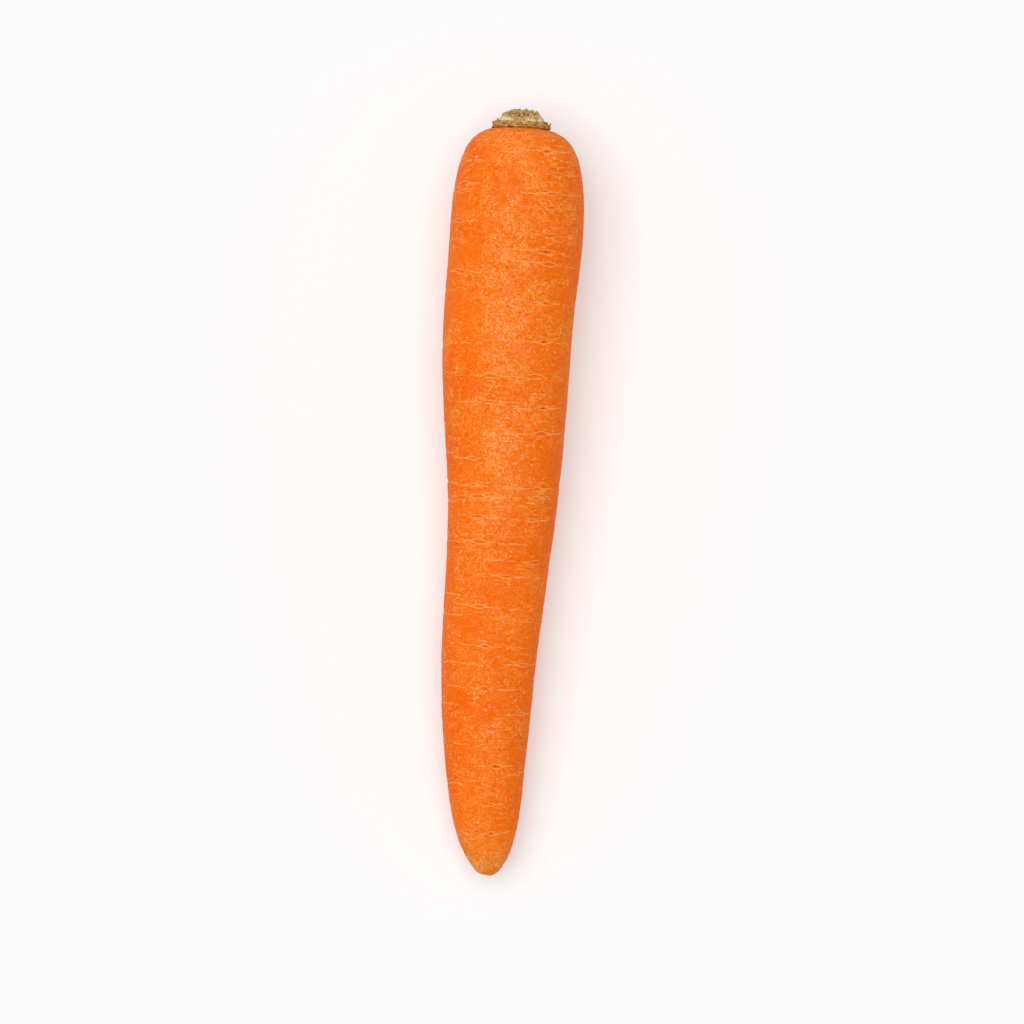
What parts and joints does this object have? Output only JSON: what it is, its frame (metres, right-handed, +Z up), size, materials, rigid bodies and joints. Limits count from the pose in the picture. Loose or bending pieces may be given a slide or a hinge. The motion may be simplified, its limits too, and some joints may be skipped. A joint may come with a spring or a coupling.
{
  "type": "carrot",
  "caption": "Fresh carrot as picked, lying down: one tapered, slightly bent root with a round shoulder and a short stub of cut leaf stalks.",
  "frame": {"origin": "middle of the bottom of the whole carrot's box, on the surface that it lies on", "axes": "+Y along the length towards the crown, +Z up, +X to the right when looking along +Y"},
  "size_m": [0.0372, 0.201, 0.0339],
  "materials": {
    "root_skin": "satin",
    "dry_leaf_base": "matte",
    "cut_stalk": "matte",
    "heart_leaf": "matte"
  },
  "bodies": {
    "root": {"root": "root_skin", "leaf_collar": "dry_leaf_base", "outer_stalk_top": "cut_stalk", "outer_stalk_right": "cut_stalk", "outer_stalk_left": "cut_stalk", "inner_stalk_right": "cut_stalk", "inner_stalk_left": "cut_stalk", "heart_bud": "heart_leaf"}
  },
  "joints": []
}
